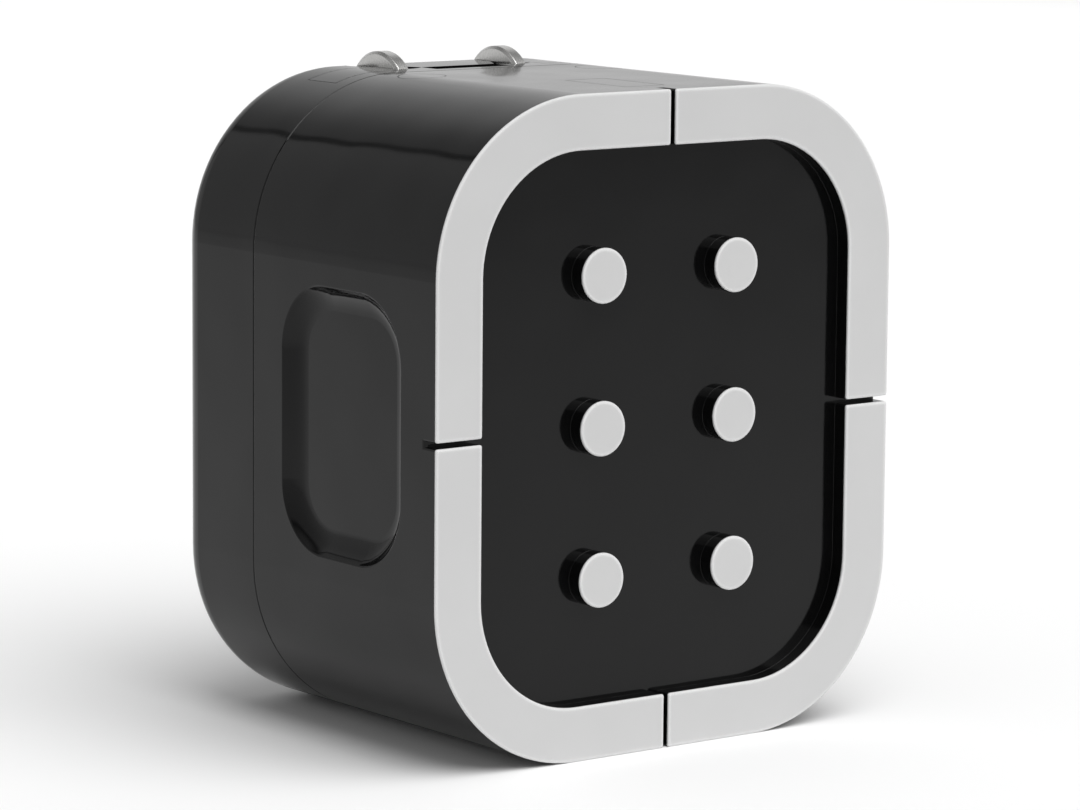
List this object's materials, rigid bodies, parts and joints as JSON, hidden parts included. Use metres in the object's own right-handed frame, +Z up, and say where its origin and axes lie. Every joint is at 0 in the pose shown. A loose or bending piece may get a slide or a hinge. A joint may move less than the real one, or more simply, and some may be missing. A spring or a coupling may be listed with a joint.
{
  "type": "universal travel adapter",
  "caption": "Compact block-shaped travel plug adapter with rounded corners, slide-out flat, round and rectangular plug pins and a combined outlet.",
  "frame": {"origin": "middle of the bottom of the block's bounding box, on the surface it stands on", "axes": "+Z up, the way the plug pins slide out; +Y to the rear, where the slider knobs are; +X to the right seen from the carved front"},
  "size_m": [0.048, 0.0388, 0.0567],
  "materials": {
    "housing_plastic": "satin-gloss black ABS",
    "light_cap_plastic": "satin light grey",
    "outlet_plastic": "fine-textured black",
    "inner_plastic": "glass-filled black",
    "knob_plastic": "satin light grey",
    "pin_plastic": "black",
    "nickel_plated_brass": "bright nickel plate",
    "contact_brass": "stamped",
    "fuse_ceramic": "glazed ceramic",
    "fuse_cap_metal": "nickel plate",
    "screw_steel": "black oxide"
  },
  "bodies": {
    "case": {"case_screws": "screw_steel", "contact_carrier": "inner_plastic", "corner_cap_bottom_left": "light_cap_plastic", "corner_cap_bottom_right": "light_cap_plastic", "corner_cap_top_left": "light_cap_plastic", "corner_cap_top_right": "light_cap_plastic", "front_housing": "housing_plastic", "fuse_caps": "fuse_cap_metal", "fuse_clips": "contact_brass", "fuse_tube": "fuse_ceramic", "line_busbar": "contact_brass", "line_contact": "contact_brass", "neutral_busbar": "contact_brass", "neutral_contact": "contact_brass", "outlet_plate": "outlet_plastic", "rear_housing": "housing_plastic", "stud_caps": "light_cap_plastic"},
    "us_slider": {"us_carriage": "inner_plastic", "us_knob": "knob_plastic"},
    "us_blade_left": {"us_blade_left": "nickel_plated_brass"},
    "us_blade_right": {"us_blade_right": "nickel_plated_brass"},
    "eu_slider": {"eu_carriage": "inner_plastic", "eu_knob": "knob_plastic", "eu_pin_left": "nickel_plated_brass", "eu_pin_noses": "pin_plastic", "eu_pin_right": "nickel_plated_brass", "eu_pin_sleeves": "pin_plastic"},
    "uk_slider": {"uk_carriage": "inner_plastic", "uk_earth_pin": "pin_plastic", "uk_knob": "knob_plastic", "uk_line_pin": "nickel_plated_brass", "uk_neutral_pin": "nickel_plated_brass", "uk_pin_noses": "pin_plastic", "uk_pin_sleeves": "pin_plastic"}
  },
  "joints": [
    {"name": "us_slide", "type": "slide", "parent": "case", "child": "us_slider", "axis": [0, 0, 1], "range_m": [0, 0.01475]},
    {"name": "us_left_twist", "type": "hinge", "parent": "us_slider", "child": "us_blade_left", "pos_m": [-0.00635, 0.01295, 0.03855], "axis": [0, 0, 1], "range_deg": [0, 30]},
    {"name": "us_right_twist", "type": "hinge", "parent": "us_slider", "child": "us_blade_right", "pos_m": [0.00635, 0.01295, 0.03855], "axis": [0, 0, 1], "range_deg": [-30, 0]},
    {"name": "eu_slide", "type": "slide", "parent": "case", "child": "eu_slider", "axis": [0, 0, 1], "range_m": [0, 0.019]},
    {"name": "uk_slide", "type": "slide", "parent": "case", "child": "uk_slider", "axis": [0, 0, 1], "range_m": [0, 0.0185]}
  ]
}
